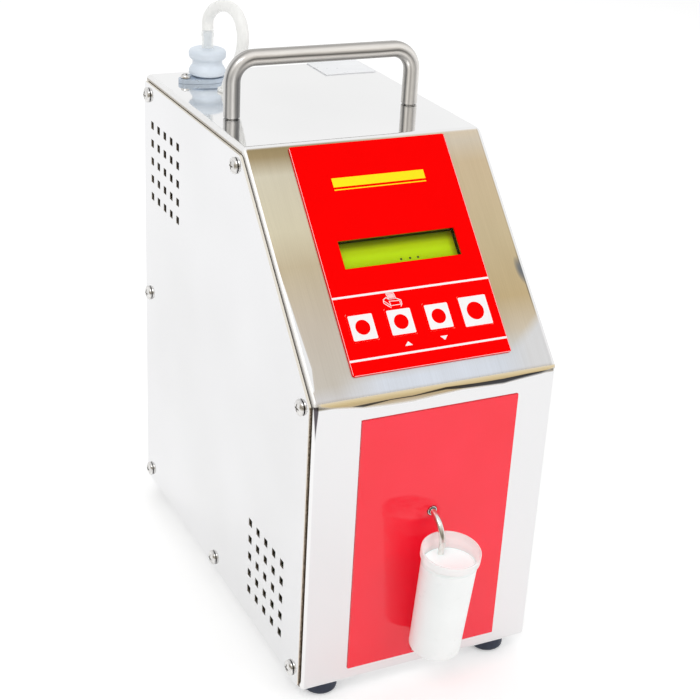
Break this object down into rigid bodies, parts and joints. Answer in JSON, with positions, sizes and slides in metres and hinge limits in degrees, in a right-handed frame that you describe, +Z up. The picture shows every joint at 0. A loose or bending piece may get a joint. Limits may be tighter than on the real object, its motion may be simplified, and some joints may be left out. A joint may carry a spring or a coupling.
{
  "type": "milk analyzer",
  "caption": "Bench milk analyzer with a sloped keypad panel, display, carry handle, intake pipe and sample cup.",
  "frame": {"origin": "middle of the whole object's box, on the surface under the feet", "axes": "+X to the right seen from the front, +Y from the front panel to the rear, +Z up"},
  "size_m": [0.1272, 0.2612, 0.2908],
  "materials": {
    "polished_steel": "mirror-polished stainless sheet, brushed along the slope",
    "satin_steel": "satin stainless bar and tube",
    "screw_steel": "bright pan-head screws",
    "zinc_plate": "zinc-plated steel",
    "overlay_red": "red printed overlay, slightly satin",
    "label_red": "glossy red film",
    "key_white": "white key cap with a red disc",
    "clear_window": "clear display window",
    "display_green": "yellow-green display",
    "black_metal": "black painted steel",
    "black_plastic": "black moulded plastic",
    "black_rubber": "dark rubber",
    "board_green": "green circuit board",
    "cup_plastic": "milky translucent cup",
    "milk_white": "milk",
    "fitting_grey": "grey-blue moulded plastic",
    "hose_silicone": "translucent silicone hose",
    "bare_plate": "bare pale plate",
    "grey_plastic": "grey moulded plastic",
    "roller_white": "white moulded plastic"
  },
  "bodies": {
    "root": {"casing_shell": "polished_steel", "side_cover": "polished_steel", "cover_screw_1": "screw_steel", "cover_screw_2": "screw_steel", "cover_screw_3": "screw_steel", "cover_screw_4": "screw_steel", "cover_screw_5": "screw_steel", "cover_screw_6": "screw_steel", "cover_screw_7": "screw_steel", "foot_front_left": "black_rubber", "foot_front_right": "black_rubber", "foot_rear_left": "black_rubber", "foot_rear_right": "black_rubber", "carry_handle": "satin_steel", "handle_nut_left": "zinc_plate", "handle_nut_right": "zinc_plate", "keypad_overlay": "overlay_red", "display_window": "clear_window", "lcd_bezel": "black_metal", "lcd_glass": "display_green", "lcd_board": "board_green", "keypad_board": "board_green", "front_label": "label_red", "intake_pipe": "satin_steel", "pipe_bush": "black_plastic", "cup_rest": "satin_steel", "fitting_flange": "satin_steel", "flange_screw": "screw_steel", "fitting_body": "fitting_grey", "top_hose": "hose_silicone", "hose_grommet": "black_rubber", "type_plate": "bare_plate", "power_inlet": "black_plastic", "switch_frame": "black_plastic", "serial_port": "zinc_plate", "fuse_holder": "black_plastic", "main_board": "board_green", "board_bracket": "zinc_plate", "mains_transformer": "black_metal", "sensor_block": "grey_plastic", "sensor_bracket": "zinc_plate", "pump_housing": "grey_plastic", "pump_motor": "zinc_plate", "pump_bracket": "zinc_plate", "pump_tube": "hose_silicone"},
    "key_mode": {"key_mode": "key_white"},
    "key_up": {"key_up": "key_white"},
    "key_down": {"key_down": "key_white"},
    "key_ok": {"key_ok": "key_white"},
    "power_rocker": {"power_rocker": "black_plastic"},
    "cup": {"sample_cup": "cup_plastic", "milk_sample": "milk_white"},
    "pump_rotor": {"pump_rotor": "grey_plastic"},
    "pump_roller_1": {"pump_roller_1": "roller_white"},
    "pump_roller_2": {"pump_roller_2": "roller_white"},
    "pump_roller_3": {"pump_roller_3": "roller_white"}
  },
  "joints": [
    {"name": "key_mode_press", "type": "slide", "parent": "root", "child": "key_mode", "axis": [0, 0.718, -0.6961], "range_m": [0, 0.0005], "stiffness_N_per_m": 2000, "springref_m": -0.0001},
    {"name": "key_up_press", "type": "slide", "parent": "root", "child": "key_up", "axis": [0, 0.718, -0.6961], "range_m": [0, 0.0005], "stiffness_N_per_m": 2000, "springref_m": -0.0001},
    {"name": "key_down_press", "type": "slide", "parent": "root", "child": "key_down", "axis": [0, 0.718, -0.6961], "range_m": [0, 0.0005], "stiffness_N_per_m": 2000, "springref_m": -0.0001},
    {"name": "key_ok_press", "type": "slide", "parent": "root", "child": "key_ok", "axis": [0, 0.718, -0.6961], "range_m": [0, 0.0005], "stiffness_N_per_m": 2000, "springref_m": -0.0001},
    {"name": "rocker_tilt", "type": "hinge", "parent": "root", "child": "power_rocker", "pos_m": [0.00865, 0.12464, 0.049], "axis": [1, 0, 0], "range_deg": [0, 20]},
    {"name": "cup_lift", "type": "slide", "parent": "root", "child": "cup", "axis": [0, -0.1288, 0.9917], "range_m": [0, 0.0028]},
    {"name": "rotor_spin", "type": "hinge", "parent": "root", "child": "pump_rotor", "pos_m": [0.02265, 0.02284, 0.1122], "axis": [0, -1, 0], "continuous": true},
    {"name": "roller_1_spin", "type": "hinge", "parent": "pump_rotor", "child": "pump_roller_1", "pos_m": [0.02265, 0.01174, 0.1232], "axis": [0, -1, 0], "continuous": true},
    {"name": "roller_2_spin", "type": "hinge", "parent": "pump_rotor", "child": "pump_roller_2", "pos_m": [0.01312, 0.01174, 0.1067], "axis": [0, -1, 0], "continuous": true},
    {"name": "roller_3_spin", "type": "hinge", "parent": "pump_rotor", "child": "pump_roller_3", "pos_m": [0.03218, 0.01174, 0.1067], "axis": [0, -1, 0], "continuous": true}
  ],
  "couplings": [
    {"joint": "roller_1_spin", "follows": "rotor_spin", "ratio": -3.444},
    {"joint": "roller_2_spin", "follows": "rotor_spin", "ratio": -3.444},
    {"joint": "roller_3_spin", "follows": "rotor_spin", "ratio": -3.444}
  ]
}
